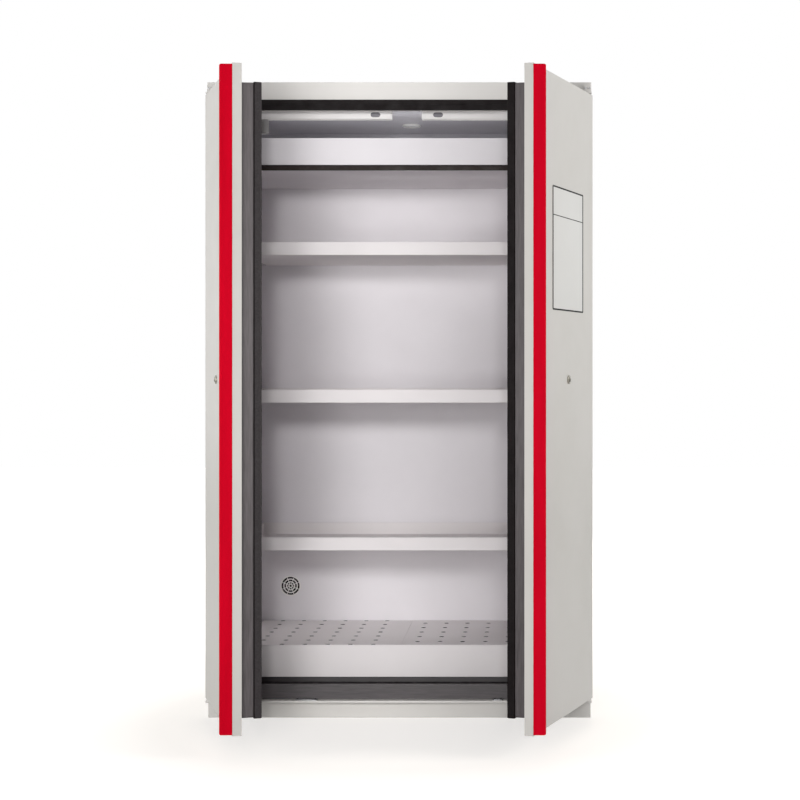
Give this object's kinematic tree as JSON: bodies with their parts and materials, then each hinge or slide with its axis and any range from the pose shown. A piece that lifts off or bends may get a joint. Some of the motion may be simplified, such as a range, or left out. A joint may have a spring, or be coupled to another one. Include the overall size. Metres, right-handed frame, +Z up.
{
  "type": "flammable safety cabinet",
  "caption": "Tall fire-resistant storage cabinet with two insulated wing doors standing open, red grip strips, lift-out tray shelves and a covered spill sump.",
  "frame": {"origin": "floor level, in the middle of the object's bounding box with the doors open as at rest", "axes": "+Z up, -Y out of the front with its doors, +X to the right as seen from the front"},
  "size_m": [1.207, 1.2309, 2.031],
  "materials": {
    "casing_paint": "fine textured light grey powder coat",
    "door_paint": "smooth light grey powder coat",
    "liner_white": "satin off-white coating",
    "tray_paint": "satin light grey powder coat",
    "rail_white": "satin white",
    "dark_grey": "matte dark grey",
    "seal_black": "matte black swelling seal",
    "fire_board": "chalky pale beige board",
    "plated_steel": "zinc plated, satin",
    "grip_red": "satin signal red"
  },
  "bodies": {
    "casing": {"plinth_frame": "casing_paint", "threshold_ledge": "casing_paint", "bottom_panel": "casing_paint", "lower_frame": "dark_grey", "left_side_panel": "casing_paint", "right_side_panel": "casing_paint", "top_rail": "casing_paint", "top_panel": "casing_paint", "back_panel": "casing_paint", "left_fire_board": "fire_board", "right_fire_board": "fire_board", "top_fire_board": "fire_board", "back_fire_board": "fire_board", "bottom_fire_board": "fire_board", "left_liner": "liner_white", "right_liner": "liner_white", "back_liner": "liner_white", "floor_liner": "liner_white", "upper_ceiling": "dark_grey", "opening_seal": "seal_black", "header_and_ceiling": "liner_white", "header_seal": "seal_black", "left_slide_rail": "rail_white", "right_slide_rail": "rail_white", "rail_roller": "plated_steel", "vent_collar": "rail_white", "exhaust_spigot": "plated_steel", "wall_grille": "rail_white", "lower_shelf_left_runner": "plated_steel", "lower_shelf_right_runner": "plated_steel", "middle_shelf_left_runner": "plated_steel", "middle_shelf_right_runner": "plated_steel", "upper_shelf_left_runner": "plated_steel", "upper_shelf_right_runner": "plated_steel", "sump_tray": "tray_paint", "sump_bearer": "seal_black", "left_top_bracket": "plated_steel", "right_top_bracket": "plated_steel"},
    "left_door": {"left_door_shell": "door_paint", "left_door_insulation": "fire_board", "left_door_plug": "dark_grey", "left_door_seal": "seal_black", "left_door_liner": "liner_white", "left_grip_strip": "grip_red", "left_lock_rosette": "plated_steel"},
    "right_door": {"right_door_shell": "door_paint", "right_door_insulation": "fire_board", "right_door_plug": "dark_grey", "right_door_seal": "seal_black", "right_door_liner": "liner_white", "right_grip_strip": "grip_red", "right_lock_rosette": "plated_steel"},
    "left_lock": {"left_lock_core": "plated_steel"},
    "right_lock": {"right_lock_core": "plated_steel"},
    "lower_tray": {"lower_shelf": "tray_paint"},
    "middle_tray": {"middle_shelf": "tray_paint"},
    "upper_tray": {"upper_shelf": "tray_paint"},
    "left_cover": {"left_insert": "tray_paint"},
    "right_cover": {"right_insert": "tray_paint"}
  },
  "joints": [
    {"name": "left_door_hinge", "type": "hinge", "parent": "casing", "child": "left_door", "pos_m": [-0.588, -0.04351, 1], "axis": [0, 0, -1], "range_deg": [-72, 38]},
    {"name": "right_door_hinge", "type": "hinge", "parent": "casing", "child": "right_door", "pos_m": [0.588, -0.04351, 1], "axis": [0, 0, 1], "range_deg": [-72, 38]},
    {"name": "left_lock_turn", "type": "hinge", "parent": "left_door", "child": "left_lock", "pos_m": [-0.51075, -0.28127, 1.058], "axis": [-0.9511, -0.309, 0], "range_deg": [0, 90]},
    {"name": "right_lock_turn", "type": "hinge", "parent": "right_door", "child": "right_lock", "pos_m": [0.51075, -0.28127, 1.058], "axis": [0.9511, -0.309, 0], "range_deg": [0, 90]},
    {"name": "lower_shelf_lift", "type": "slide", "parent": "casing", "child": "lower_tray", "axis": [0, 0, 1], "range_m": [0, 0.03]},
    {"name": "middle_shelf_lift", "type": "slide", "parent": "casing", "child": "middle_tray", "axis": [0, 0, 1], "range_m": [0, 0.03]},
    {"name": "upper_shelf_lift", "type": "slide", "parent": "casing", "child": "upper_tray", "axis": [0, 0, 1], "range_m": [0, 0.03]},
    {"name": "left_insert_lift", "type": "slide", "parent": "casing", "child": "left_cover", "axis": [0, 0, 1], "range_m": [0, 0.12]},
    {"name": "right_insert_lift", "type": "slide", "parent": "casing", "child": "right_cover", "axis": [0, 0, 1], "range_m": [0, 0.12]}
  ]
}
